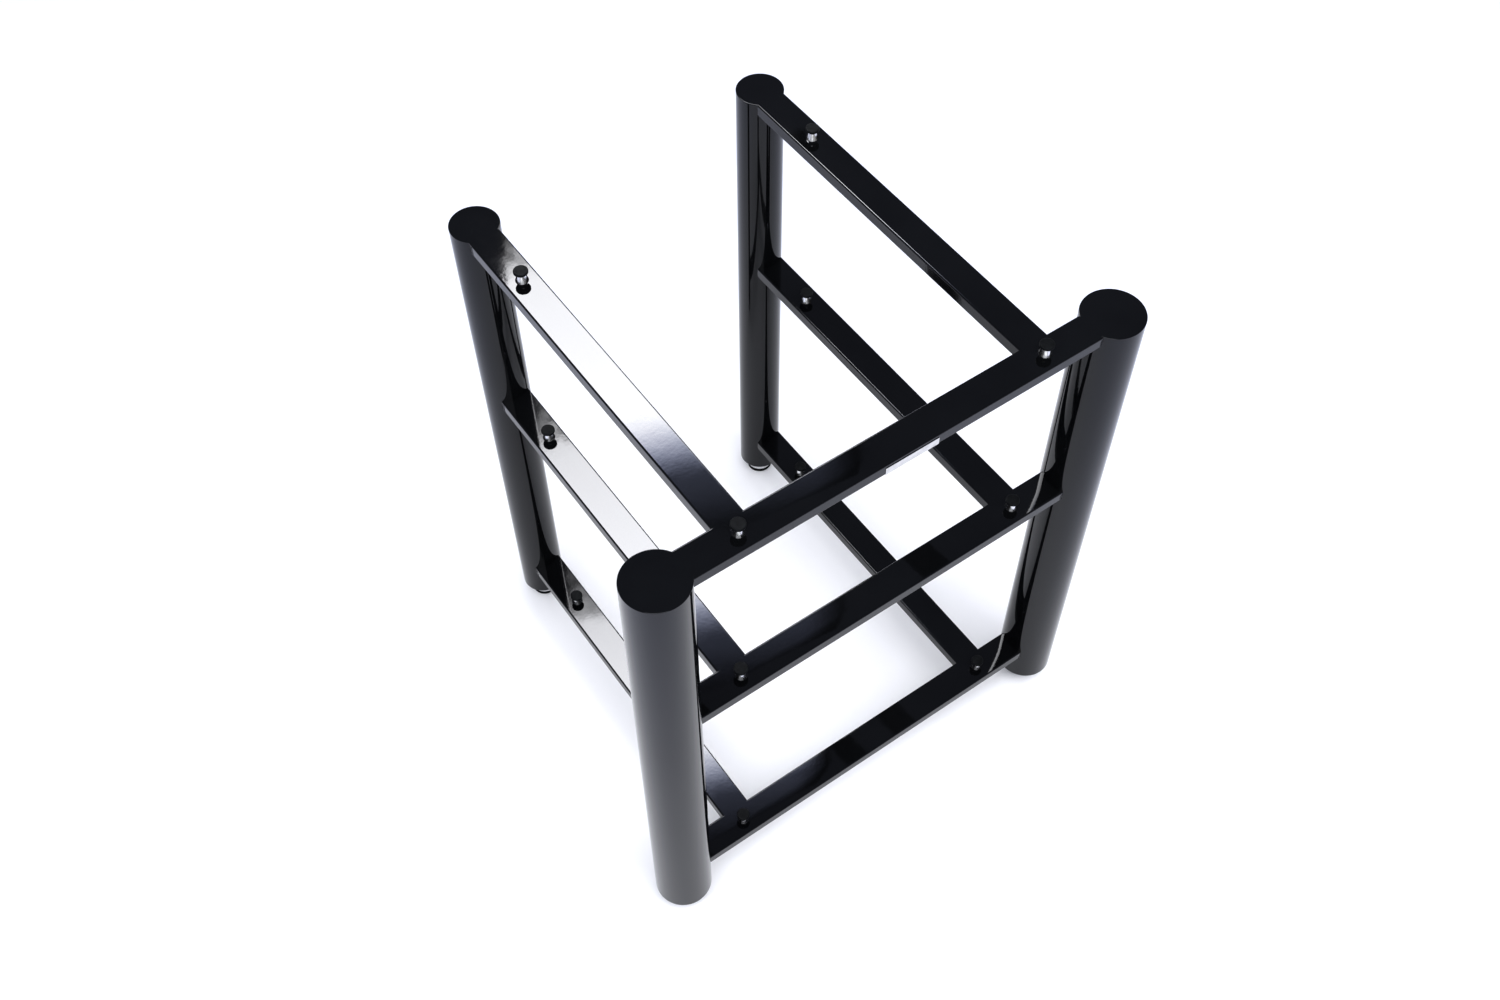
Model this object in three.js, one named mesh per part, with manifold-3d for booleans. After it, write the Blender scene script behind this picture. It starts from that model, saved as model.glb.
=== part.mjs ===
import * as THREE from 'three';
import { mergeVertices } from 'three/addons/utils/BufferGeometryUtils.js';
import Module from 'manifold-3d';

const wasm = await Module();
wasm.setup();

// An open rack for audio equipment. Four round columns carry three levels of flat bar. Each level is a U,
// open at the back, and bears four rubber-capped supports for a shelf. Millimetres, +Z up, front towards -Y.

// Columns
const frontColumnDiameter = 75;
const rearColumnDiameter = 60;
const columnWall = 3;
const columnTopThickness = 6;
const columnHeight = 734;
const frontColumnSpacing = 600;
const rearColumnSetIn = 98.5;
const columnSpacingInDepth = 528;
const columnRimRadius = 0.8;

// Levels, each the height of a level's upper face above the foot of the columns
const bottomLevelHeight = 64;
const middleLevelHeight = 450;

// Flat bar of the levels
const beamWidth = 40;
const beamThickness = 16.5;
const beamEdgeRadius = 2;
const metalUnderStud = 4.5;

// Shelf supports: a turned stud with a rubber cap
const supportToRearColumn = 78;
const studShankDiameter = 8;
const studBaseDiameter = 15.4;
const studDomeHeight = 11.2;
const studNeckDiameter = 9.8;
const studHeight = 12.5;
const studPegDiameter = 6;
const studPegHeight = 1.5;
const capDiameter = 17.2;
const capThickness = 3;
const capEdgeRadius = 1.2;

// Levelling feet: a threaded rod through the column's base plate, a disc to turn it by, and a rubber pad
const basePlateThickness = 10;
const rodDiameter = 12;
const rodInsideColumn = 22;
const rodChamfer = 1;
const rodExposed = 11.5;
const discDiameter = 37;
const discThickness = 9.7;
const discFloor = 1.8;
const discEdge = 1.4;
const padDiameter = 37.6;
const padThickness = 5;
const padEdge = 0.9;
const padBossDiameter = 15;
const padBossHeight = 1.6;

// Fits
const weldGap = 0.3;
const seatGap = 0.3;
const threadGap = 0.3;
const swivelGap = 0.3;
const cutOverrun = 5;

// Facets
const columnFacets = 36;
const discFacets = 24;
const studFacets = 16;
const arcFacets = 2;
const domeFacets = 4;

// Places worked out from the sizes above
const frontColumnRadius = frontColumnDiameter / 2;
const rearColumnRadius = rearColumnDiameter / 2;
const rearColumnSpacing = frontColumnSpacing - 2 * rearColumnSetIn;
const supportSpacingInDepth = columnSpacingInDepth - rearColumnRadius - supportToRearColumn;
const rackDepth = frontColumnRadius + columnSpacingInDepth + rearColumnRadius;
const frontLine = frontColumnRadius - rackDepth / 2;
const rearLine = rackDepth / 2 - rearColumnRadius;
const columnFoot = padThickness + swivelGap + discThickness + rodExposed;
const shankLength = beamThickness - metalUnderStud;
const rodInDisc = discThickness - seatGap - padBossHeight - discFloor;

const lacquer = new THREE.MeshStandardMaterial({ color: 0x14161a, roughness: 0.08, metalness: 0 });
const chrome = new THREE.MeshStandardMaterial({ color: 0xd9dce0, roughness: 0.1, metalness: 1 });
const zincPlate = new THREE.MeshStandardMaterial({ color: 0x9b9ea3, roughness: 0.4, metalness: 1 });
const rubber = new THREE.MeshStandardMaterial({ color: 0x141516, roughness: 0.7, metalness: 0 });

function piece(name, geometry, material) {
  const mesh = new THREE.Mesh(geometry, material);
  mesh.name = name;
  return mesh;
}

// A turned body about +Z. The profile is a list of [radius, height] from the lowest point up the outside.
function turned(profile, facets) {
  const points = profile.map(([radius, height]) => new THREE.Vector2(radius, height));
  return new THREE.LatheGeometry(points, facets).rotateX(Math.PI / 2);
}

// Points of an arc from one angle to another, in degrees, both ends included
function arc(centreRadius, centreHeight, radiusAcross, radiusUp, fromAngle, toAngle, steps = arcFacets) {
  return Array.from({ length: steps + 1 }, (_, step) => {
    const angle = THREE.MathUtils.degToRad(THREE.MathUtils.lerp(fromAngle, toAngle, step / steps));
    return [centreRadius + radiusAcross * Math.cos(angle), centreHeight + radiusUp * Math.sin(angle)];
  });
}

function toSolid(geometry) {
  const bare = geometry.clone();
  bare.deleteAttribute('normal');
  bare.deleteAttribute('uv');
  const merged = mergeVertices(bare);
  const vertProperties = Float32Array.from(merged.attributes.position.array);
  const triVerts = Uint32Array.from(merged.index.array);
  return new wasm.Manifold(new wasm.Mesh({ numProp: 3, vertProperties, triVerts }));
}

function toGeometry(solid) {
  const { vertProperties, triVerts } = solid.getMesh();
  const geometry = new THREE.BufferGeometry();
  geometry.setAttribute('position', new THREE.BufferAttribute(vertProperties, 3));
  geometry.setIndex(new THREE.BufferAttribute(triVerts, 1));
  geometry.computeVertexNormals();
  return geometry;
}

// An upright round cutter, its lower end at the given height
function roundCutter(radius, low, high, facets, x, y) {
  const cutter = new THREE.CylinderGeometry(radius, radius, high - low, facets).rotateX(Math.PI / 2);
  return toSolid(cutter.translate(x, y, (low + high) / 2));
}

// Flat bar along X with its long edges rounded, its upper face at height zero
function flatBar(length) {
  const halfThickness = beamThickness / 2;
  const halfWidth = beamWidth / 2;
  const acrossEdge = halfThickness - beamEdgeRadius;
  const alongEdge = halfWidth - beamEdgeRadius;
  const quarter = Math.PI / 2;
  const section = new THREE.Shape();
  section.moveTo(-acrossEdge, -halfWidth);
  section.absarc(acrossEdge, -alongEdge, beamEdgeRadius, -quarter, 0);
  section.absarc(acrossEdge, alongEdge, beamEdgeRadius, 0, quarter);
  section.absarc(-acrossEdge, alongEdge, beamEdgeRadius, quarter, 2 * quarter);
  section.absarc(-acrossEdge, -alongEdge, beamEdgeRadius, 2 * quarter, 3 * quarter);
  const settings = { depth: length, bevelEnabled: false, curveSegments: arcFacets };
  const bar = new THREE.ExtrudeGeometry(section, settings);
  return bar.rotateY(quarter).translate(-length / 2, 0, -halfThickness);
}

function columnCutter(radius, x, y) {
  return roundCutter(radius + weldGap, -beamThickness - cutOverrun, cutOverrun, columnFacets, x, y);
}

// The tapped hole for a support's shank, blind from the upper face
function studHole(x, y) {
  const radius = studShankDiameter / 2 + threadGap;
  return roundCutter(radius, -shankLength - seatGap, cutOverrun, studFacets, x, y);
}

// The front bar runs between the front columns and is hollowed at both ends to their round. Where a side bar
// meets it, a stub of the same section fills the rounded edge, so that the two upper faces run on.
function frontBeamGeometry() {
  const halfSpacing = frontColumnSpacing / 2;
  const sideBeam = rearColumnSpacing / 2;
  let bar = toSolid(flatBar(frontColumnSpacing));
  for (const side of [-1, 1]) {
    const stub = flatBar(beamWidth / 2).rotateZ(Math.PI / 2).translate(side * sideBeam, beamWidth / 4, 0);
    bar = bar.add(toSolid(stub));
    bar = bar.subtract(columnCutter(frontColumnRadius, side * halfSpacing, 0));
    bar = bar.subtract(studHole(side * sideBeam, 0));
  }
  return toGeometry(bar);
}

// A side bar runs from the back of the front bar to a rear column. Its zero is the front bar's centre line.
function sideBeamGeometry() {
  const start = beamWidth / 2 + weldGap;
  const length = columnSpacingInDepth - start;
  const blank = flatBar(length).rotateZ(Math.PI / 2).translate(0, start + length / 2, 0);
  const bar = toSolid(blank)
    .subtract(columnCutter(rearColumnRadius, 0, columnSpacingInDepth))
    .subtract(studHole(0, supportSpacingInDepth));
  return toGeometry(bar);
}

// A length of tube, its upper edge rounded
function columnGeometry(radius) {
  const bore = radius - columnWall;
  const round = columnRimRadius;
  return turned([
    [bore, 0],
    [radius, 0],
    ...arc(radius - round, columnHeight - round, round, round, 0, 90),
    [bore, columnHeight],
    [bore, 0],
  ], columnFacets);
}

// The disc that closes the tube, welded in flush with its upper end
function columnTopGeometry(radius) {
  const rim = radius - columnWall - weldGap;
  return turned([
    [0, -columnTopThickness],
    [rim, -columnTopThickness],
    [rim, 0],
    [0, 0],
  ], columnFacets);
}

// The disc welded in at the tube's foot, tapped for the levelling rod
function basePlateGeometry(radius) {
  const rim = radius - columnWall - weldGap;
  const bore = rodDiameter / 2 + threadGap;
  return turned([
    [bore, 0],
    [rim, 0],
    [rim, basePlateThickness],
    [bore, basePlateThickness],
    [bore, 0],
  ], discFacets);
}

// The stud's base is a dome. The neck that rises from it bears the cap, and a short peg locates the cap.
function studGeometry() {
  const shank = studShankDiameter / 2;
  const base = studBaseDiameter / 2;
  const neck = studNeckDiameter / 2;
  const peg = studPegDiameter / 2;
  const domeEnd = THREE.MathUtils.radToDeg(Math.acos(neck / base));
  return turned([
    [0, -shankLength],
    [shank, -shankLength],
    [shank, 0],
    ...arc(0, 0, base, studDomeHeight, 0, domeEnd, domeFacets),
    [neck, studHeight],
    [peg, studHeight],
    [peg, studHeight + studPegHeight],
    [0, studHeight + studPegHeight],
  ], studFacets);
}

function capGeometry() {
  const rim = capDiameter / 2;
  const socket = studPegDiameter / 2 + seatGap;
  const shoulder = rim - capEdgeRadius;
  return turned([
    [0, studPegHeight + seatGap],
    [socket, studPegHeight + seatGap],
    [socket, 0],
    [rim, 0],
    ...arc(shoulder, capThickness - capEdgeRadius, capEdgeRadius, capEdgeRadius, 0, 90),
    [0, capThickness],
  ], studFacets);
}

// The pad stays put on the floor while the disc turns on its boss
function padGeometry() {
  const rim = padDiameter / 2;
  const boss = padBossDiameter / 2;
  return turned([
    [0, 0],
    [rim - padEdge, 0],
    [rim, padEdge],
    [rim, padThickness - padEdge],
    [rim - padEdge, padThickness],
    [boss, padThickness],
    [boss, padThickness + padBossHeight],
    [0, padThickness + padBossHeight],
  ], discFacets);
}

// The disc has a socket below for the pad's boss and a blind hole above for the rod
function discGeometry() {
  const rim = discDiameter / 2;
  const socket = padBossDiameter / 2 + swivelGap;
  const socketRoof = padBossHeight;
  const hole = rodDiameter / 2 + threadGap;
  const holeFloor = socketRoof + discFloor;
  return turned([
    [0, socketRoof],
    [socket, socketRoof],
    [socket, 0],
    [rim - discEdge, 0],
    [rim, discEdge],
    ...arc(rim - discEdge, discThickness - discEdge, discEdge, discEdge, 0, 90),
    [hole, discThickness],
    [hole, holeFloor],
    [0, holeFloor],
  ], discFacets);
}

// The rod's zero is the top of the disc
function rodGeometry() {
  const radius = rodDiameter / 2;
  const tip = rodExposed + basePlateThickness + rodInsideColumn;
  return turned([
    [0, -rodInDisc],
    [radius - rodChamfer, -rodInDisc],
    [radius, rodChamfer - rodInDisc],
    [radius, tip - rodChamfer],
    [radius - rodChamfer, tip],
    [0, tip],
  ], studFacets);
}

function support(place) {
  const group = new THREE.Group();
  const cap = piece(`support_cap_${place}`, capGeometry(), rubber);
  cap.position.z = studHeight;
  group.add(piece(`support_stud_${place}`, studGeometry(), chrome), cap);
  return group;
}

function level(name, height) {
  const group = new THREE.Group();
  group.position.set(0, frontLine, columnFoot + height);
  group.add(piece(`beam_${name}_front`, frontBeamGeometry(), lacquer));
  for (const [side, direction] of [['left', -1], ['right', 1]]) {
    const x = direction * rearColumnSpacing / 2;
    const beam = piece(`beam_${name}_${side}`, sideBeamGeometry(), lacquer);
    beam.position.x = x;
    group.add(beam);
    for (const [end, y] of [['front', 0], ['rear', supportSpacingInDepth]]) {
      const rest = support(`${name}_${end}_${side}`);
      rest.position.set(x, y, 0);
      group.add(rest);
    }
  }
  return group;
}

function foot(place) {
  const group = new THREE.Group();
  const disc = piece(`foot_disc_${place}`, discGeometry(), chrome);
  const rod = piece(`foot_rod_${place}`, rodGeometry(), zincPlate);
  disc.position.z = padThickness + swivelGap;
  rod.position.z = disc.position.z + discThickness;
  group.add(piece(`foot_pad_${place}`, padGeometry(), rubber), disc, rod);
  return group;
}

function column(place, radius, x, y) {
  const group = new THREE.Group();
  const tube = piece(`column_${place}`, columnGeometry(radius), lacquer);
  const top = piece(`column_top_${place}`, columnTopGeometry(radius), lacquer);
  const plate = piece(`base_plate_${place}`, basePlateGeometry(radius), zincPlate);
  tube.position.z = columnFoot;
  top.position.z = columnFoot + columnHeight;
  plate.position.z = columnFoot;
  group.position.set(x, y, 0);
  group.add(tube, top, plate, foot(place));
  return group;
}

const rack = new THREE.Group();
for (const [side, direction] of [['left', -1], ['right', 1]]) {
  rack.add(column(`front_${side}`, frontColumnRadius, direction * frontColumnSpacing / 2, frontLine));
  rack.add(column(`rear_${side}`, rearColumnRadius, direction * rearColumnSpacing / 2, rearLine));
}
rack.add(level('bottom', bottomLevelHeight), level('middle', middleLevelHeight), level('top', columnHeight));

export default rack;
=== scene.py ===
import math

import bpy
import numpy as np
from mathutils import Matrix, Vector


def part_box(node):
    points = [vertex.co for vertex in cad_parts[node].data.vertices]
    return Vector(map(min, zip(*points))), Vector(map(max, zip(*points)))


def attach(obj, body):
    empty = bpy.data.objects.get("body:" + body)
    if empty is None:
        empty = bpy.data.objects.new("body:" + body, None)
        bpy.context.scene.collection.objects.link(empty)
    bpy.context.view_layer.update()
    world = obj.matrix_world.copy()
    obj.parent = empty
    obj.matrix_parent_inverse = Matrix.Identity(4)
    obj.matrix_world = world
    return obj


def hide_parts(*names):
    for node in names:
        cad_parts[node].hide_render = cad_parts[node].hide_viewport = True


# An open rack for audio equipment: four lacquered columns, three U-shaped levels of flat bar, twelve turned
# supports and four levelling feet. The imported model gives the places; this script makes the fine surfaces.

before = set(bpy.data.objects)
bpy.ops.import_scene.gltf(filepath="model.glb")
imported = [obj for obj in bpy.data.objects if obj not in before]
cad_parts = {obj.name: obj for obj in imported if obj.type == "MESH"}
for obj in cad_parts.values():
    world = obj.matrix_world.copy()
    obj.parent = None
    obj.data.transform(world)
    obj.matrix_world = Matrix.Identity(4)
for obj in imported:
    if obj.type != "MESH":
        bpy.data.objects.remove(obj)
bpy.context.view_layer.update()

places = ["front_left", "front_right", "rear_left", "rear_right"]
levels = ["bottom", "middle", "top"]
frameBody = "rack_frame"
rightward, inward, upward = np.eye(3)   # inward is from the front to the back


# The middle of a node's box
def centreOf(node):
    low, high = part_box(node)
    return (low + high) / 2


# Half the width of a node's box, which is the radius of an upright round node
def halfWidthOf(node):
    low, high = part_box(node)
    return (high.x - low.x) / 2


# Outlines of turned pieces. A run has a row for each point: radius, height, the two parts of the outward
# normal, and how far the point is on an edge that wears.

# A straight run: start + (end - start) * share. Its normal is its direction turned a quarter to the right.
def straightRun(start, end, steps=1):
    share = np.linspace(0, 1, steps + 1)[:, None]
    start, end = np.array(start, float), np.array(end, float)
    along = (end - start) / np.linalg.norm(end - start)
    normals = np.tile([along[1], -along[0]], (steps + 1, 1))
    return np.hstack([start + (end - start) * share, normals, 0 * share])


# Straight runs from each point to the next
def straightRuns(*points):
    return [straightRun(start, end) for start, end in zip(points, points[1:])]


# A round run, anticlockwise: centre + radius * (cosine, sine) of an angle in degrees. That cosine and sine
# are its normal too, and it wears most in its middle.
def roundRun(centre, radius, fromAngle, toAngle, steps):
    angle = np.radians(np.linspace(fromAngle, toAngle, steps + 1))
    circle = np.stack([np.cos(angle), np.sin(angle)], -1)
    wear = np.sin(np.linspace(0, np.pi, steps + 1))[:, None]
    return np.hstack([np.array(centre) + radius * circle, circle, wear])


# The rounded lower rim: a quarter circle about a point an edge in from the side and an edge up from the face
def lowerRim(radius, low, edge, steps):
    return roundRun((radius - edge, low + edge), edge, -90, 0, steps)


# The rounded upper rim: the same, but an edge down from the face
def upperRim(radius, high, edge, steps):
    return roundRun((radius - edge, high - edge), edge, 0, 90, steps)


# Surfaces. Each is a grid of samples with nine numbers: place, normal, two surface lengths and wear.

# The nine numbers of each sample side by side, with single values spread over the whole grid
def gridOf(points, normals, across, along, wear):
    shape = points.shape[:2]
    rest = [np.broadcast_to(values, shape)[..., None] for values in (across, along, wear)]
    return np.concatenate([points, np.broadcast_to(normals, points.shape), *rest], axis=-1)


# Runs carried round an upright axis: radius times the cosine and sine of the turn, at the run's height.
# The surface lengths are the turn times the widest radius, and the way travelled along the outline.
def revolved(runs, centre, facets):
    turn = np.linspace(0, 2 * np.pi, facets + 1)
    cosine, sine = np.cos(turn), np.sin(turn)
    widest = max(run[:, 0].max() for run in runs)
    made, travelled = [], 0.0
    for run in runs:
        radius, height, out, up, wear = (part[:, None] for part in run.T)
        points = np.stack([centre[0] + radius * cosine, centre[1] + radius * sine, height + 0 * turn], -1)
        normals = np.stack([out * cosine, out * sine, up + 0 * turn], -1)
        steps = np.hypot(np.diff(run[:, 0]), np.diff(run[:, 1]))
        lengths = travelled + np.concatenate([[0], np.cumsum(steps)])[:, None]
        travelled = lengths[-1, 0]
        made.append(gridOf(points, normals, turn * widest, lengths, wear))
    return made


# Joins grids into one closed mesh. Each grid is turned so that its faces point along its normals. Corners at
# one place become one vertex, quads that have shrunk to a line go, and each corner keeps its own normal.
def meshPiece(name, grids, finish, body, slot, *replaced):
    corners = []
    for grid in grids:
        cells = [grid[:-1, :-1], grid[1:, :-1], grid[1:, 1:], grid[:-1, 1:]]
        quads = np.stack(cells, axis=2).reshape(-1, 4, 9)
        across = np.cross(quads[:, 2, :3] - quads[:, 0, :3], quads[:, 3, :3] - quads[:, 1, :3])
        facing = (across * quads[:, :, 3:6].sum(1)).sum()
        corners.append(quads if facing > 0 else quads[:, ::-1])
    samples = np.concatenate(corners).reshape(-1, 9)
    weldDistance = 1e-6
    phase = 0.3137              # moves the borders between two places away from round numbers
    keys = np.floor(samples[:, :3] / weldDistance + phase).astype(np.int64)
    _, first, index = np.unique(keys, axis=0, return_index=True, return_inverse=True)
    index = index.reshape(-1, 4)
    kept = index != np.roll(index, 1, axis=1)
    kept &= (kept.sum(1) > 2)[:, None]
    counts = kept.sum(1)
    counts = counts[counts > 0]
    starts = np.cumsum(counts) - counts
    loops = samples[kept.ravel()]
    mesh = bpy.data.meshes.new(name)
    mesh.vertices.add(len(first))
    mesh.vertices.foreach_set("co", samples[first, :3].ravel())
    mesh.loops.add(len(loops))
    mesh.loops.foreach_set("vertex_index", index[kept].astype(np.int32))
    mesh.polygons.add(len(starts))
    mesh.polygons.foreach_set("loop_start", starts.astype(np.int32))
    mesh.update(calc_edges=True)
    mesh.shade_smooth()
    mesh.normals_split_custom_set(loops[:, 3:6])
    surface = mesh.uv_layers.new(name="surface")
    surface.uv.foreach_set("vector", loops[:, 6:8].astype(np.float32).ravel())
    wear = mesh.attributes.new("edgeWear", "FLOAT", "CORNER")
    wear.data.foreach_set("value", loops[:, 8].astype(np.float32))
    made = bpy.data.objects.new(name, mesh)
    bpy.context.scene.collection.objects.link(made)
    made.data.materials.append(finish)
    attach(made, body)
    if replaced:
        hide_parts(*replaced)


# A piece turned round an upright axis
def turnPiece(name, runs, centre, facets, *rest):
    meshPiece(name, revolved(runs, centre, facets), *rest)


# Materials. Lengths and depths in the looks are in metres.

# An empty material and its node tree
def newFinish(name):
    finish = bpy.data.materials.new(name)
    finish.use_nodes = True
    finish.node_tree.nodes.clear()
    return finish, finish.node_tree


# A shader node: an input that is given another node's output is linked to it, any other is set
def addNode(tree, kind, inputs=None, **settings):
    made = tree.nodes.new("ShaderNode" + kind)
    for key, value in settings.items():
        setattr(made, key, value)
    for key, value in (inputs or {}).items():
        if isinstance(value, bpy.types.NodeSocket):
            tree.links.new(value, made.inputs[key])
        else:
            made.inputs[key].default_value = value
    return made


# The last shader of a tree, and the output after it
def endWith(tree, kind, inputs, output="OutputMaterial"):
    shader = addNode(tree, kind, inputs)
    addNode(tree, output, {"Surface": shader.outputs[0]})


# What a finish reads of its piece: the place in metres, the surface lengths, and the wear of its edges
def placeOn(tree):
    return addNode(tree, "TexCoord").outputs["Object"]


def lengthsOn(tree):
    return addNode(tree, "UVMap", uv_map="surface").outputs["UV"]


def wearOn(tree):
    return addNode(tree, "Attribute", attribute_name="edgeWear").outputs["Fac"]


# The sum of two values, or what another operation makes of them
def combine(tree, first, second, operation="ADD"):
    return addNode(tree, "Math", {0: first, 1: second}, operation=operation).outputs["Value"]


# A value that passes from low to high while another passes from start to end, in a straight line or softly
def ramp(tree, value, start, end, low=0.0, high=1.0, soft=False):
    limits = {"Value": value, 1: start, 2: end, 3: low, 4: high}
    kind = "SMOOTHSTEP" if soft else "LINEAR"
    return addNode(tree, "MapRange", limits, interpolation_type=kind).outputs["Result"]


# Noise of the given size in metres, passing from low to high as it rises between the contrast's two values
def patchiness(tree, place, size, low, high, detail=2.0, contrast=(0.35, 0.65)):
    noise = addNode(tree, "TexNoise", {"Vector": place, "Scale": 1 / size, "Detail": detail})
    return ramp(tree, noise.outputs["Fac"], *contrast, low, high)


# The first colour at factor 0 and the second at 1; each is a colour or another node's output
def mixedColour(tree, factor, first, second):
    ends = [end if isinstance(end, bpy.types.NodeSocket) else (*end, 1) for end in (first, second)]
    return addNode(tree, "Mix", {0: factor, 6: ends[0], 7: ends[1]}, data_type="RGBA").outputs[2]


# The normal of a surface that stands out by the height given
def bumpOf(tree, height, strength=1.0):
    bump = addNode(tree, "Bump", {"Height": height, "Strength": strength, "Distance": 1.0})
    return bump.outputs["Normal"]


lacquerLook = {
    "black": (0.0022, 0.0024, 0.0030),
    "haze": (0.0040, 0.0044, 0.0052),
    "hazeSize": 0.11,
    "dust": (0.030, 0.031, 0.034),
    "dustScale": 90.0,              # cells in a metre, each with a grain
    "dustGrain": (0.012, 0.03),     # where a grain begins to fade and where it ends, in cells
    "dustPatchSize": 0.03,
    "dustContrast": (0.62, 0.7),    # of the dusty patches, higher for fewer
    "dustShare": 0.5,               # the most that a grain takes the skin towards the dust
    "gloss": (0.028, 0.060),        # roughness where it is glossiest and where it is dullest
    "glossSize": 0.045,
    "wornGloss": 0.05,              # added where an edge is worn
    "ior": 1.42,
    "tint": (0.945, 0.955, 1.0),    # of the mirror part
    "peelSize": 0.0034,
    "peelDepth": 0.000012,
    "waveSize": 0.022,
    "waveDepth": 0.000030,
}


# High-gloss black lacquer: an orange-peel skin over long waves, a faint haze, a few grains of dust and edges
# that have lost a little of their gloss
def lacquerFinish(look):
    finish, tree = newFinish("blackLacquer")
    place = placeOn(tree)
    haze = patchiness(tree, place, look["hazeSize"], 0.0, 1.0, detail=5.0)
    skin = mixedColour(tree, haze, look["black"], look["haze"])
    cells = addNode(tree, "TexVoronoi", {"Vector": place, "Scale": look["dustScale"]})
    grain = ramp(tree, cells.outputs["Distance"], *look["dustGrain"], 1.0, 0.0)
    size, share, contrast = look["dustPatchSize"], look["dustShare"], look["dustContrast"]
    dusty = combine(tree, grain, patchiness(tree, place, size, 0.0, share, contrast=contrast), "MULTIPLY")
    gloss = patchiness(tree, place, look["glossSize"], *look["gloss"], detail=4.0)
    worn = combine(tree, wearOn(tree), look["wornGloss"], "MULTIPLY")
    peel = patchiness(tree, place, look["peelSize"], 0.0, look["peelDepth"], contrast=(0.0, 1.0))
    wave = patchiness(tree, place, look["waveSize"], 0.0, look["waveDepth"], contrast=(0.0, 1.0))
    endWith(tree, "BsdfPrincipled", {
        "Base Color": mixedColour(tree, dusty, skin, look["dust"]),
        "Roughness": combine(tree, gloss, worn),
        "IOR": look["ior"],
        "Specular Tint": (*look["tint"], 1),
        "Normal": bumpOf(tree, combine(tree, peel, wave)),
    })
    return finish


steelLook = {
    "bright": (0.80, 0.80, 0.81),
    "dull": (0.66, 0.66, 0.67),
    "smearSize": 0.006,
    "gloss": (0.12, 0.22),
    "glossSize": 0.004,
    "lineSize": 0.00012,
    "lineStretch": 0.004,           # width of a line as a share of its length
    "lineContrast": (0.2, 0.8),
    "lineDepth": 0.0000010,
}


# Turned and polished steel: fine lines that run round the piece, as its surface lengths give them
def steelFinish(name, look):
    finish, tree = newFinish(name)
    place = placeOn(tree)
    smear = patchiness(tree, place, look["smearSize"], 0.0, 1.0, detail=4.0)
    stretch = {"Vector": lengthsOn(tree), "Scale": (look["lineStretch"], 1.0, 1.0)}
    stretched = addNode(tree, "Mapping", stretch).outputs["Vector"]
    size, depth, contrast = look["lineSize"], look["lineDepth"], look["lineContrast"]
    lines = patchiness(tree, stretched, size, 0.0, depth, contrast=contrast)
    endWith(tree, "BsdfPrincipled", {
        "Base Color": mixedColour(tree, smear, look["bright"], look["dull"]),
        "Roughness": patchiness(tree, place, look["glossSize"], *look["gloss"]),
        "Metallic": 1.0,
        "Normal": bumpOf(tree, lines),
    })
    return finish


zincLook = {
    "bright": (0.62, 0.62, 0.64),
    "dull": (0.42, 0.43, 0.46),
    "cloudSize": 0.009,
    "gloss": (0.24, 0.42),
    "glossSize": 0.005,
    "grainSize": 0.0004,
    "grainDepth": 0.000004,
}


# Zinc plate: cloudy, a little rough, with the fine grain of the plating
def zincFinish(look):
    finish, tree = newFinish("zincPlate")
    place = placeOn(tree)
    clouds = patchiness(tree, place, look["cloudSize"], 0.0, 1.0, detail=5.0)
    endWith(tree, "BsdfPrincipled", {
        "Base Color": mixedColour(tree, clouds, look["bright"], look["dull"]),
        "Roughness": patchiness(tree, place, look["glossSize"], *look["gloss"]),
        "Metallic": 1.0,
        "Normal": bumpOf(tree, patchiness(tree, place, look["grainSize"], 0.0, look["grainDepth"])),
    })
    return finish


rubberLook = {
    "black": (0.0036, 0.0041, 0.0049),
    "grey": (0.0090, 0.0100, 0.0115),
    "smearSize": 0.004,
    "smear": 0.7,                   # the most that the smears take the black towards the grey
    "worn": 0.3,                    # more of it where an edge is worn
    "gloss": (0.42, 0.58),
    "glossSize": 0.003,
    "mirror": 0.07,                 # the mirror part, where 0.5 is usual
    "grainSize": 0.0005,
    "grainDepth": 0.000020,
    "grainStrength": 0.6,
}


# Moulded rubber: fine grain, uneven gloss, edges rubbed a little paler
def rubberFinish(look):
    finish, tree = newFinish("rubber")
    place = placeOn(tree)
    smear = patchiness(tree, place, look["smearSize"], 0.0, look["smear"], detail=4.0)
    pale = combine(tree, smear, combine(tree, wearOn(tree), look["worn"], "MULTIPLY"))
    grain = patchiness(tree, place, look["grainSize"], 0.0, look["grainDepth"])
    endWith(tree, "BsdfPrincipled", {
        "Base Color": mixedColour(tree, pale, look["black"], look["grey"]),
        "Roughness": patchiness(tree, place, look["glossSize"], *look["gloss"]),
        "Specular IOR Level": look["mirror"],
        "Normal": bumpOf(tree, grain, look["grainStrength"]),
    })
    return finish


lacquer = lacquerFinish(lacquerLook)
steel = steelFinish("turnedSteel", steelLook)
zinc = zincFinish(zincLook)
rubber = rubberFinish(rubberLook)
print("finishes ready")


# Columns

column = {
    "wall": 0.003,
    "topDisc": 0.006,
    "edge": 0.0008,             # rounding of the upper rim
    "foot": 0.0006,             # rounding of the lower rim
    "facets": 144,
}


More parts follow.
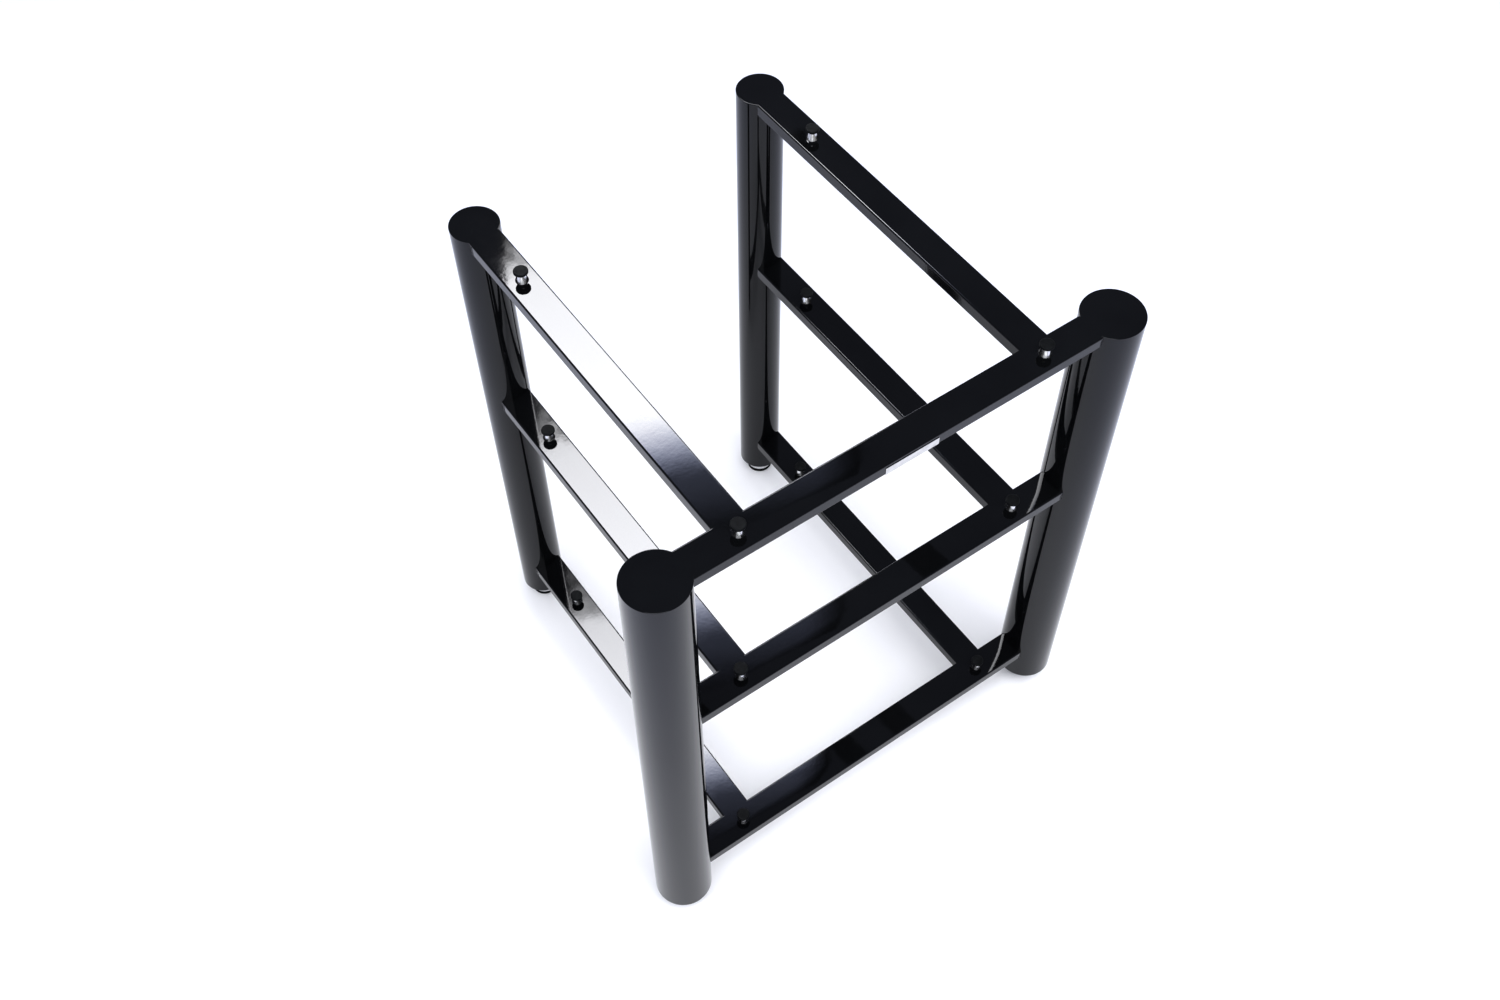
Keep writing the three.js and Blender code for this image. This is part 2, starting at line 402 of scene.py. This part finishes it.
# A tube with its top disc welded flush: up the outside, over the rounded rim and flat to the axis, then
# inside from the axis under the disc and down to the foot
def columnRuns(radius, low, high, sizes):
    bore, edge, footEdge = radius - sizes["wall"], sizes["edge"], sizes["foot"]
    under = high - sizes["topDisc"]
    return [
        straightRun((bore, low), (radius - footEdge, low)),
        lowerRim(radius, low, footEdge, steps=4),
        straightRun((radius, low + footEdge), (radius, high - edge), steps=12),
        upperRim(radius, high, edge, steps=6),
        straightRun((radius - edge, high), (0, high), steps=4),
        straightRun((0, under), (bore, under), steps=2),
        straightRun((bore, under), (bore, low), steps=2),
    ]


for place in places:
    node, topNode = "column_" + place, "column_top_" + place
    low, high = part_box(node)
    runs = columnRuns(halfWidthOf(node), low.z, high.z, column)
    turnPiece("tube_" + place, runs, centreOf(node), column["facets"],
              lacquer, frameBody, "lacquer", node, topNode)
print("columns ready")


# Bars

bar = {
    "edge": 0.002,              # rounding of the long edges
    "edgeSteps": 8,
    "lap": 0.0008,              # how far an end runs into the piece that it is welded to
    "acrossSteps": 12,
    "fallWidth": 0.018,         # how far from its front edge a front bar's upper and lower faces fall away
    "fallSlope": 0.030,         # at that edge, in radians
}


# The outline of half a bar from its right side over the top to its left side, as rows of across, height, the
# two parts of the normal and wear. The lower half is its mirror image. The top is flat, or falls away to the
# left as slope * beyond squared * width / 2, where beyond goes from 0 to 1 over the width that falls.
def halfSection(halfWidth, halfHeight, sizes, slope):
    edge, steps, width = sizes["edge"], sizes["edgeSteps"], sizes["fallWidth"]
    right = halfWidth - edge
    left = -right - edge * math.sin(slope)
    face = straightRun((right, halfHeight), (left, halfHeight), sizes["acrossSteps"])
    beyond = np.maximum(width + left - face[:, 0], 0) / width
    face[:, 1] -= slope * beyond ** 2 * width / 2
    face[:, 2:4] = np.stack([-np.sin(slope * beyond), np.cos(slope * beyond)], -1)
    rim = face[-1, 1] - edge * math.cos(slope)
    return [
        straightRun((halfWidth, 0), (halfWidth, halfHeight - edge)),
        roundRun((right, halfHeight - edge), edge, 0, 90, steps),
        face,
        roundRun((-right, rim), edge, 90 + math.degrees(slope), 180, steps),
        straightRun((-halfWidth, rim), (-halfWidth, 0)),
    ]


# A bar from endOne(across) to endTwo(across) along its way. Points are origin + length * way + across * side
# + height * upward, with the height turned round for the lower half. The caps join the rims of both halves.
def barGrids(origin, way, side, halfWidth, halfHeight, endOne, endTwo, sizes, slope=0.0):
    grids, rims = [], []
    for mirror in (1, -1):
        rim = []
        for run in halfSection(halfWidth, halfHeight, sizes, slope):
            across, height, out, up, wear = (part[:, None] for part in run.T)
            lengths = np.concatenate([endOne(across), endTwo(across)], axis=1)
            points = origin + lengths[..., None] * way + across[..., None] * side
            points = points + (mirror * height)[..., None] * upward
            normals = out[..., None] * side + (mirror * up)[..., None] * upward
            grids.append(gridOf(points, normals, lengths, across + height, wear))
            rim.append(points)
        rims.append(np.concatenate(rim))
    for end, facing in ((0, -1), (1, 1)):
        cap = np.stack([rims[0][:, end], rims[1][:, end]])
        grids.append(gridOf(cap, facing * way, 0, 0, 0))
    return grids


# A flat end: the same distance at every place across
def flatEnd(distance):
    return lambda across: distance + 0 * across


# A hollow end: half the chord of the column's round at that distance across, short of the column's axis
# where a bar ends (facing 1), and past it where one begins (facing -1)
def hollowEnd(axis, radius, facing):
    return lambda across: axis - facing * np.sqrt(radius ** 2 - across ** 2)


for level in levels:
    node = f"beam_{level}_front"
    low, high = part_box(node)
    origin = np.array(centreOf(node)) * (inward + upward)
    halfHeight = (high.z - low.z) / 2
    backOfFront = high.y
    radius = halfWidthOf("column_front_left") - bar["lap"]
    ends = [
        hollowEnd(centreOf("column_front_left").x, radius, -1),
        hollowEnd(centreOf("column_front_right").x, radius, 1),
    ]
    halfWidth = (high.y - low.y) / 2
    grids = barGrids(origin, rightward, inward, halfWidth, halfHeight, *ends, bar, bar["fallSlope"])
    meshPiece(f"bar_{level}_front", grids, lacquer, frameBody, "lacquer", node)
    for side in ("left", "right"):
        node, columnNode = f"beam_{level}_{side}", f"column_rear_{side}"
        origin = np.array(centreOf(node)) * (rightward + upward)
        radius = halfWidthOf(columnNode) - bar["lap"]
        ends = [flatEnd(backOfFront - bar["edge"]), hollowEnd(centreOf(columnNode).y, radius, 1)]
        grids = barGrids(origin, inward, rightward, halfWidthOf(node), halfHeight, *ends, bar)
        meshPiece(f"bar_{level}_{side}", grids, lacquer, frameBody, "lacquer", node)
print("bars ready")


# Supports

support = {
    "facets": 72,
    "base": 0.0077,             # radius where the cone stands on the bar
    "chamfer": 0.0003,
    "shoulder": 0.0086,         # height of the cone, from which the neck rises
    "neck": 0.0049,
    "height": 0.0125,           # of the stud, up to the cap
    "capRadius": 0.0086,
    "capHeight": 0.003,
    "capEdge": 0.0012,
    "seam": 0.0003,             # rounding of the cap's lower rim
}


# A stud's conical base and the neck that rises from it to the cap
def studRuns(seat, sizes):
    base, neck, chamfer = sizes["base"], sizes["neck"], sizes["chamfer"]
    shoulder, top = seat + sizes["shoulder"], seat + sizes["height"]
    return [
        straightRun((0, seat), (base - chamfer, seat)),
        lowerRim(base, seat, chamfer, steps=3),
        straightRun((base, seat + chamfer), (neck, shoulder), steps=8),
        *straightRuns((neck, shoulder), (neck, top), (0, top)),
    ]


# A cap: a short upright side between a fine lower rim and a well rounded upper one
def capRuns(seat, sizes):
    radius, edge, seam = sizes["capRadius"], sizes["capEdge"], sizes["seam"]
    top = seat + sizes["capHeight"]
    return [
        straightRun((0, seat), (radius - seam, seat)),
        lowerRim(radius, seat, seam, steps=3),
        straightRun((radius, seat + seam), (radius, top - edge)),
        upperRim(radius, top, edge, steps=10),
        straightRun((radius - edge, top), (0, top), steps=3),
    ]


for level in levels:
    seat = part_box(f"beam_{level}_front")[1].z
    for place in places:
        spot = f"{level}_{place}"
        studNode, capNode = "support_stud_" + spot, "support_cap_" + spot
        centre, facets = centreOf(studNode), support["facets"]
        runs = studRuns(seat, support)
        turnPiece("stud_" + spot, runs, centre, facets, steel, frameBody, "chrome", studNode)
        runs = capRuns(seat + support["height"], support)
        turnPiece("cap_" + spot, runs, centre, facets, rubber, frameBody, "rubber", capNode)
print("supports ready")


# Levelling feet

foot = {
    "facets": 96,
    "gap": 0.0003,              # between pieces that turn or fit on each other
    "padEdge": 0.0009,
    "boss": 0.0075,             # radius of the pad's middle, on which the disc turns
    "discEdge": 0.0014,
    "discHole": 0.0063,
    "plateEdge": 0.0004,
    "pitch": 0.00175,
    "crest": 0.125,             # crest, flank and root of the thread, as shares of a pitch
    "flank": 0.3125,
    "root": 0.25,
    "threadDepth": 0.00107,
    "rodChamfer": 0.0011,
    "rodFacets": 64,
}


# A pad: a disc with two rounded rims, and a boss on its upper face
def padRuns(low, high, radius, bossTop, sizes):
    edge, boss = sizes["padEdge"], sizes["boss"]
    return [
        straightRun((0, low), (radius - edge, low)),
        lowerRim(radius, low, edge, steps=5),
        straightRun((radius, low + edge), (radius, high - edge)),
        upperRim(radius, high, edge, steps=5),
        *straightRuns((radius - edge, high), (boss, high), (boss, bossTop), (0, bossTop)),
    ]


# A disc: the socket for the boss below, two rounded rims, and the hole for the rod above
def discRuns(low, high, radius, socketRoof, holeFloor, sizes):
    edge, hole, socket = sizes["discEdge"], sizes["discHole"], sizes["boss"] + sizes["gap"]
    return [
        *straightRuns((0, socketRoof), (socket, socketRoof), (socket, low), (radius - edge, low)),
        lowerRim(radius, low, edge, steps=6),
        straightRun((radius, low + edge), (radius, high - edge)),
        upperRim(radius, high, edge, steps=8),
        *straightRuns((radius - edge, high), (hole, high), (hole, holeFloor), (0, holeFloor)),
    ]


# The plate in a column's foot that the rod climbs through: a ring with its lower rim rounded
def rodPlateRuns(low, high, bore, radius, sizes):
    edge = sizes["plateEdge"]
    return [
        straightRun((bore, low), (radius - edge, low)),
        lowerRim(radius, low, edge, steps=3),
        *straightRuns((radius, low + edge), (radius, high), (bore, high), (bore, low)),
    ]


# The thread: rows that climb a pitch in each turn, at the corners of the flat crest, the flank, the flat
# root and the flank again. The radius follows from height and turn, and a cone takes each end down to its
# chamfer. The normal is the cross product of the ways round and down, and points out where that vanishes.
def threadGrids(centre, radius, low, high, sizes):
    pitch, crest, flank, root = sizes["pitch"], sizes["crest"], sizes["flank"], sizes["root"]
    corners = np.array([0, crest, crest + flank, crest + flank + root])
    turns = np.arange(-1, math.ceil((high - low) / pitch) + 2)
    climb = (turns[:, None] + corners).ravel()[:, None]
    turn = np.linspace(0, 2 * np.pi, sizes["rodFacets"] + 1)
    height = np.clip(low + pitch * (climb + turn / (2 * np.pi) - 1), low, high)
    phase = ((height - low) / pitch - turn / (2 * np.pi) + 2) % 1
    fall = np.interp(phase, [*corners, 1.0], [0, 0, 1, 1, 0])
    cone = radius - sizes["rodChamfer"] + np.minimum(height - low, high - height)
    reach = np.minimum(radius - sizes["threadDepth"] * fall, cone)
    points = np.stack([centre[0] + reach * np.cos(turn), centre[1] + reach * np.sin(turn), height], -1)
    down, around = np.gradient(points, axis=0), np.gradient(points, axis=1)
    normals = np.cross(around, down)
    length = np.linalg.norm(normals, axis=-1, keepdims=True)
    outward = np.stack([np.cos(turn), np.sin(turn), 0 * turn], -1)
    vanishing = 1e-12
    normals = np.where(length > vanishing, normals / np.maximum(length, vanishing), outward)
    grids = [gridOf(points, normals, turn * radius, height, 0)]
    for row, facing in ((0, -1.0), (-1, 1.0)):
        axis = np.broadcast_to([centre[0], centre[1], points[row, 0, 2]], points[row].shape)
        grids.append(gridOf(np.stack([points[row], axis]), facing * upward, 0, 0, 0))
    return grids


for place in places:
    padNode, discNode = "foot_pad_" + place, "foot_disc_" + place
    rodNode, plateNode = "foot_rod_" + place, "base_plate_" + place
    padBody, screwBody = "foot_pad_" + place, "foot_screw_" + place
    padLow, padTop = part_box(padNode)
    discLow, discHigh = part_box(discNode)
    rodLow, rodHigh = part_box(rodNode)
    plateLow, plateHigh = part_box(plateNode)
    centre, facets, gap = centreOf(rodNode), foot["facets"], foot["gap"]
    runs = padRuns(padLow.z, discLow.z - gap, halfWidthOf(padNode), padTop.z, foot)
    turnPiece("pad_" + place, runs, centre, facets, rubber, padBody, "rubber", padNode)
    runs = discRuns(discLow.z, discHigh.z, halfWidthOf(discNode), padTop.z + gap, rodLow.z - gap, foot)
    turnPiece("disc_" + place, runs, centre, facets, steel, screwBody, "chrome", discNode)
    grids = threadGrids(centre, halfWidthOf(rodNode), rodLow.z, rodHigh.z, foot)
    meshPiece("rod_" + place, grids, zinc, screwBody, "zinc", rodNode)
    bore = halfWidthOf(rodNode) + gap
    runs = rodPlateRuns(plateLow.z, plateHigh.z, bore, halfWidthOf(plateNode), foot)
    turnPiece("rod_plate_" + place, runs, centre, facets, zinc, frameBody, "zinc", plateNode)
print("feet ready")


# The bare plate on the top front bar

barePlate = {
    "along": (-0.0315, 0.039),      # from the middle of the bar
    "below": (0.0048, 0.0153),      # from its upper face
    "thickness": 0.0008,
    "corner": 0.0007,
    "cornerSteps": 6,
    "edge": 0.0003,
    "edgeSteps": 4,
}

plateLook = {
    "bright": (0.62, 0.61, 0.585),
    "dull": (0.52, 0.51, 0.49),
    "gloss": (0.05, 0.12),
}


# Rings of a rounded rectangle from the back over the rounded rim to the middle of the front. A ring is the
# corner centres plus the corner radius, less what it is drawn in, times the turn's cosine and sine.
def barePlateGrids(left, right, bottom, top, back, sizes):
    corner, edge, steps = sizes["corner"], sizes["edge"], sizes["cornerSteps"] + 1
    quarters = [np.linspace(start, start + 90, steps) for start in (0, 90, 180, 270)]
    turn = np.radians(np.concatenate([*quarters, [0]]))
    signs = np.repeat([[1, 1], [-1, 1], [-1, -1], [1, -1]], steps, axis=0)
    signs = np.vstack([signs, signs[:1]])
    half = np.array([right - left, top - bottom]) / 2 - corner
    middle = np.array([right + left, top + bottom]) / 2
    circle = np.stack([np.cos(turn), np.sin(turn)], -1)

    def ring(inset, depth):
        flat = middle + signs * half + circle * (corner - inset)
        return np.stack([flat[:, 0], 0 * turn + depth, flat[:, 1]], -1)

    front = back - sizes["thickness"]
    rim, rimNormals = [], []
    lifts = np.radians(np.linspace(0, 90, sizes["edgeSteps"] + 1))
    for lift in lifts:
        out, up = math.cos(lift), math.sin(lift)
        rim.append(ring(edge * (1 - out), front + edge * (1 - up)))
        rimNormals.append(np.stack([circle[:, 0] * out, 0 * turn - up, circle[:, 1] * out], -1))
    sides = np.stack([ring(0, back), rim[0]])
    rounded = np.stack(rim)
    wear = np.sin(2 * lifts)[:, None]
    axis = np.broadcast_to([middle[0], 0, middle[1]], rim[0].shape)
    return [
        gridOf(np.stack([axis + back * inward, sides[0]]), inward, 0, 0, 0),
        gridOf(sides, rimNormals[0], sides[..., 0], sides[..., 2], 0),
        gridOf(rounded, np.stack(rimNormals), rounded[..., 0], rounded[..., 2], wear),
        gridOf(np.stack([rim[-1], axis + front * inward]), -inward, 0, 0, 0),
    ]


low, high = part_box("beam_top_front")
bottom, top = high.z - barePlate["below"][1], high.z - barePlate["below"][0]
grids = barePlateGrids(*barePlate["along"], bottom, top, low.y, barePlate)
meshPiece("bare_plate", grids, steelFinish("polishedPlate", {**steelLook, **plateLook}), frameBody, "chrome")
print("plate ready")


# Studio

# A thing of the studio at its place, turned by angles in degrees about X, Y and Z
def addThing(name, data, place, turn):
    made = bpy.data.objects.new(name, data)
    bpy.context.scene.collection.objects.link(made)
    made.location = place
    made.rotation_euler = [math.radians(angle) for angle in turn]
    return made


camera = {
    "place": (-0.70643, -1.00242, 2.05869),
    "turn": (35.8134, 0.2372, -35.3089),
    "lens": 38.279,
    "sensor": 36.0,             # millimetres, as the lens
    "reach": 60.0,              # metres
    "gamma": 0.82,              # of the picture, under 1 for deeper blacks
}


# The camera, and how its picture is shown
def addCamera(settings):
    data = bpy.data.cameras.new("camera")
    data.lens = settings["lens"]
    data.sensor_width = settings["sensor"]
    data.clip_end = settings["reach"]
    bpy.context.scene.camera = addThing("camera", data, settings["place"], settings["turn"])
    bpy.context.scene.view_settings.view_transform = "Standard"
    bpy.context.scene.view_settings.gamma = settings["gamma"]


addCamera(camera)


# The room's light by the sine of the angle above the horizon: the pale horizon, the walls and the ceiling
room = {
    "horizon": (1.0, 1.0, 1.0),
    "horizonTop": (0.12, 0.26),     # where the horizon begins to pass into the walls, and where it has
    "wall": (0.08, 0.08, 0.08),
    "wallTop": (0.34, 0.62),
    "ceiling": (0.74, 0.79, 1.0),
    "ceilingLight": 0.34,
}


# The world's colour, from the height of the direction: two soft ramps, one over the other
def addRoom(settings):
    world = bpy.data.worlds.new("studio")
    bpy.context.scene.world = world
    world.use_nodes = True
    tree = world.node_tree
    tree.nodes.clear()
    direction = addNode(tree, "TexCoord").outputs["Generated"]
    height = addNode(tree, "SeparateXYZ", {"Vector": direction}).outputs["Z"]
    ceiling = [settings["ceilingLight"] * part for part in settings["ceiling"]]
    overWalls = ramp(tree, height, *settings["wallTop"], soft=True)
    overHorizon = ramp(tree, height, *settings["horizonTop"], soft=True)
    colour = mixedColour(tree, overWalls, settings["wall"], ceiling)
    colour = mixedColour(tree, overHorizon, settings["horizon"], colour)
    endWith(tree, "Background", {"Color": colour}, "OutputWorld")


addRoom(room)


# Lamps that light the rack and the floor but don't shine in them, with their sides in metres
lamps = {
    "frontPanel": {"place": (-0.1, -1.5, 2.6), "aim": (-0.2, -0.5, 0.0), "side": 2.0, "power": 55.0},
    "sidePanel": {"place": (-1.7, -0.9, 2.3), "aim": (-0.6, -0.5, 0.0), "side": 1.6, "power": 36.0},
}

# The even light from the whole ceiling
overhead = {
    "turn": (6.0, 5.0, 0.0),    # degrees about X, Y and Z, so that it comes from the front right
    "spread": 130.0,
    "strength": 3.05,
}


# A lamp that neither the camera nor a mirror sees
def addLamp(name, data, place, turn):
    made = addThing(name, data, place, turn)
    made.visible_glossy = False
    made.visible_camera = False


# A square panel: tilted from straight down to the angle of its aim, and turned to the side of its aim
def addPanel(name, settings):
    data = bpy.data.lights.new(name, "AREA")
    data.shape = "SQUARE"
    data.size = settings["side"]
    data.energy = settings["power"]
    x, y, z = np.array(settings["aim"]) - np.array(settings["place"])
    tilt = math.atan2(math.hypot(x, y), -z)
    heading = math.atan2(x, -y) + math.pi
    addLamp(name, data, settings["place"], (math.degrees(tilt), 0, math.degrees(heading)))


# A far lamp that fills a wide cone of the sky
def addOverhead(settings):
    data = bpy.data.lights.new("overhead", "SUN")
    data.angle = math.radians(settings["spread"])
    data.energy = settings["strength"]
    addLamp("overhead", data, (0, 0, 0), settings["turn"])


for name, settings in lamps.items():
    addPanel(name, settings)
addOverhead(overhead)


# A flat sheet: corner + u * one side + v * the other, with u and v from 0 to 1 as its surface lengths. It
# faces where the first side crossed with the second points.
def stageSheet(name, corner, sideOne, sideTwo, finish):
    shares = np.array([[0, 0], [1, 0], [1, 1], [0, 1]], np.float32)
    points = np.array(corner) + shares @ np.array([sideOne, sideTwo])
    mesh = bpy.data.meshes.new(name)
    mesh.from_pydata(points.tolist(), [], [(0, 1, 2, 3)])
    lengths = mesh.uv_layers.new(name="surface")
    lengths.uv.foreach_set("vector", shares.ravel())
    mesh.materials.append(finish)
    made = bpy.data.objects.new(name, mesh)
    bpy.context.scene.collection.objects.link(made)
    return made


floor = {
    "reach": 25.0,
    "near": (0.825, 0.83, 0.855),
    # painted shade: the far colour is darker and bluer than the near one, for the dimmer floor away from the
    # rack
    "shadedFar": (0.735, 0.755, 0.85),
    "turns": (0.35, 1.0),       # metres from the middle between which near passes into far
    "roughness": 0.9,
    "mirror": 0.1,
}


# A matt paper floor with painted shade: darker and a little bluer away from the rack, for the dimmer far
# floor that the lacquer mirrors
def floorFinish(look):
    finish, tree = newFinish("floor")
    distance = addNode(tree, "VectorMath", {0: placeOn(tree)}, operation="LENGTH").outputs["Value"]
    # painted shade: the share by which the floor's colour darkens towards the far colour, rising with
    # distance from the rack
    shadedAway = ramp(tree, distance, *look["turns"], soft=True)
    endWith(tree, "BsdfPrincipled", {
        "Base Color": mixedColour(tree, shadedAway, look["near"], look["shadedFar"]),
        "Roughness": look["roughness"],
        "Specular IOR Level": look["mirror"],
    })
    return finish


reach = floor["reach"]
stageSheet("floor", (-reach, -reach, 0), 2 * reach * rightward, 2 * reach * inward, floorFinish(floor))


# A glowing sheet that shines in the lacquer and the studs, and is seen nowhere else
def addGlow(name, corner, sideOne, sideTwo, finish):
    sheet = stageSheet(name, corner, sideOne, sideTwo, finish)
    sheet.visible_camera = False
    sheet.visible_diffuse = False


# The two shares of a sheet's surface lengths
def sharesOf(tree, lengths):
    parts = addNode(tree, "SeparateXYZ", {"Vector": lengths})
    return parts.outputs["X"], parts.outputs["Y"]


# The softbox that shines in the left bars. A fade runs between two shares of the way from its near end or
# from its left side.
softbox = {
    "corner": (-0.187, 0.482, 1.78),    # the near left one
    "nearSide": (0.618, -0.230, 0.0),
    "leftSide": (0.4823, 0.848, 0.0),
    "fromNear": [(0.123, 0.311), (0.95, 0.70)],
    "fromLeft": [(0.0, 0.02), (1.0, 0.84)],
    "nearLight": 34.5,
    "farLight": 18.0,
    "colour": (1.0, 0.995, 0.99),
    "haloFromNear": (-0.028, 0.143),
    "haloLight": 1.9,
    "haloColour": (0.68, 0.74, 1.0),
    "cloudFromNear": (0.70, 0.80),
    "cloudSize": 0.045,
    "cloudContrast": (0.42, 0.58),
    "cloudShare": 0.8,                  # the most of the light that the clouds take
}


# The softbox's glow: hotter at its near end, fading in from each side, over a faint halo, and cloudy at its
# far end. The fades are multiplied, the halo is added, and the clouds take a share away.
def softboxFinish(look):
    finish, tree = newFinish("softboxGlow")
    lengths = lengthsOn(tree)
    fromNear, fromLeft = sharesOf(tree, lengths)
    glow = ramp(tree, fromNear, 0.0, 1.0, look["nearLight"], look["farLight"])
    for fade in look["fromNear"]:
        glow = combine(tree, glow, ramp(tree, fromNear, *fade, soft=True), "MULTIPLY")
    halo = ramp(tree, fromNear, *look["haloFromNear"], 0.0, look["haloLight"], soft=True)
    glow = combine(tree, glow, halo)
    for fade in look["fromLeft"]:
        glow = combine(tree, glow, ramp(tree, fromLeft, *fade, soft=True), "MULTIPLY")
    inside = ramp(tree, fromNear, *look["fromNear"][0], soft=True)
    metres = (np.linalg.norm(look["leftSide"]), np.linalg.norm(look["nearSide"]), 1.0)
    spread = addNode(tree, "Mapping", {"Vector": lengths, "Scale": metres}).outputs["Vector"]
    size, share, contrast = look["cloudSize"], look["cloudShare"], look["cloudContrast"]
    cloud = patchiness(tree, spread, size, 0.0, share, detail=5.0, contrast=contrast)
    cloud = combine(tree, cloud, ramp(tree, fromNear, *look["cloudFromNear"], soft=True), "MULTIPLY")
    endWith(tree, "Emission", {
        "Strength": combine(tree, glow, combine(tree, 1.0, cloud, "SUBTRACT"), "MULTIPLY"),
        "Color": mixedColour(tree, inside, look["haloColour"], look["colour"]),
    })
    return finish


addGlow("softbox", softbox["corner"], softbox["leftSide"], softbox["nearSide"], softboxFinish(softbox))


# The tall panel behind the camera that shines in the studs: its radiance at shares of its height
backPanel = {
    "corner": (-1.80, -0.85, 0.0),
    "across": (1.60, -1.08, 0.0),
    "up": (0.0, 0.0, 4.4),
    "light": [(0.0, 1.2), (0.2, 1.4), (0.4, 4.0), (0.6, 6.5), (0.9, 5.0), (1.0, 0.0)],
    "fade": 0.15,
    "colour": (0.95, 0.97, 1.0),
}


# The panel's glow: the given radiances joined by straight lines over its height, fading at its two sides
def panelFinish(look):
    finish, tree = newFinish("panelGlow")
    across, height = sharesOf(tree, lengthsOn(tree))
    glow = look["light"][0][1]
    for (start, low), (end, high) in zip(look["light"], look["light"][1:]):
        glow = combine(tree, glow, ramp(tree, height, start, end, 0.0, high - low))
    for fade in ((0.0, look["fade"]), (1.0, 1 - look["fade"])):
        glow = combine(tree, glow, ramp(tree, across, *fade, soft=True), "MULTIPLY")
    endWith(tree, "Emission", {"Strength": glow, "Color": (*look["colour"], 1)})
    return finish


addGlow("backPanel", backPanel["corner"], backPanel["across"], backPanel["up"], panelFinish(backPanel))
print("studio ready")
